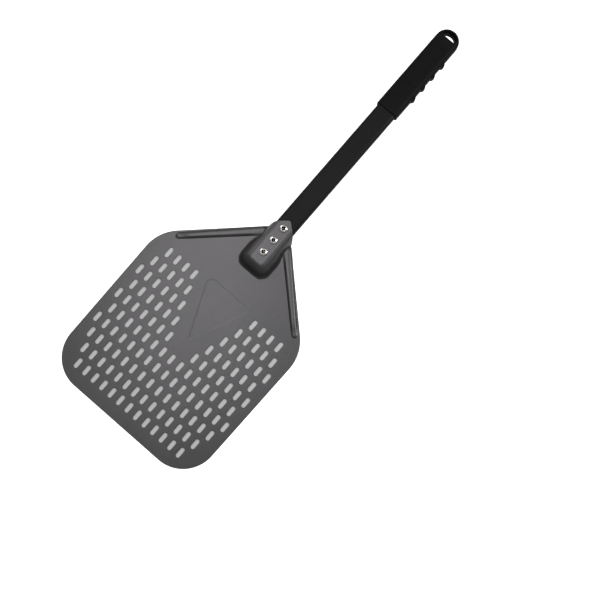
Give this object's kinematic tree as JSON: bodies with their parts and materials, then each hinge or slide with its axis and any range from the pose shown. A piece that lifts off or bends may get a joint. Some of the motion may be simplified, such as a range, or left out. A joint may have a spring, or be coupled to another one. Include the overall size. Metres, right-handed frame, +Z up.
{
  "type": "pizza peel",
  "caption": "Perforated stamped aluminium pizza peel with a flat-oval tube handle, a moulded grip and a hang slot.",
  "frame": {"origin": "middle of the bounding box, on the flat surface that the blade rests on", "axes": "+Y from the blade's front edge towards the grip, +X across the blade, +Z up"},
  "size_m": [0.254, 0.692, 0.0351],
  "materials": {
    "anodised_sheet": "dark grey hard-anodised, fine satin grain",
    "black_tube": "satin black powder coat on aluminium",
    "plug_plastic": "black moulded plastic",
    "grip_plastic": "black moulded plastic, finely textured",
    "bright_steel": "bright polished stainless steel",
    "nut_steel": "zinc-plated steel"
  },
  "bodies": {
    "root": {"blade": "anodised_sheet", "handle_tube": "black_tube", "tube_plug": "plug_plastic", "grip": "grip_plastic", "screw_front": "bright_steel", "screw_middle": "bright_steel", "screw_rear": "bright_steel", "rivet_nut_front": "nut_steel", "rivet_nut_middle": "nut_steel", "rivet_nut_rear": "nut_steel"}
  },
  "joints": []
}
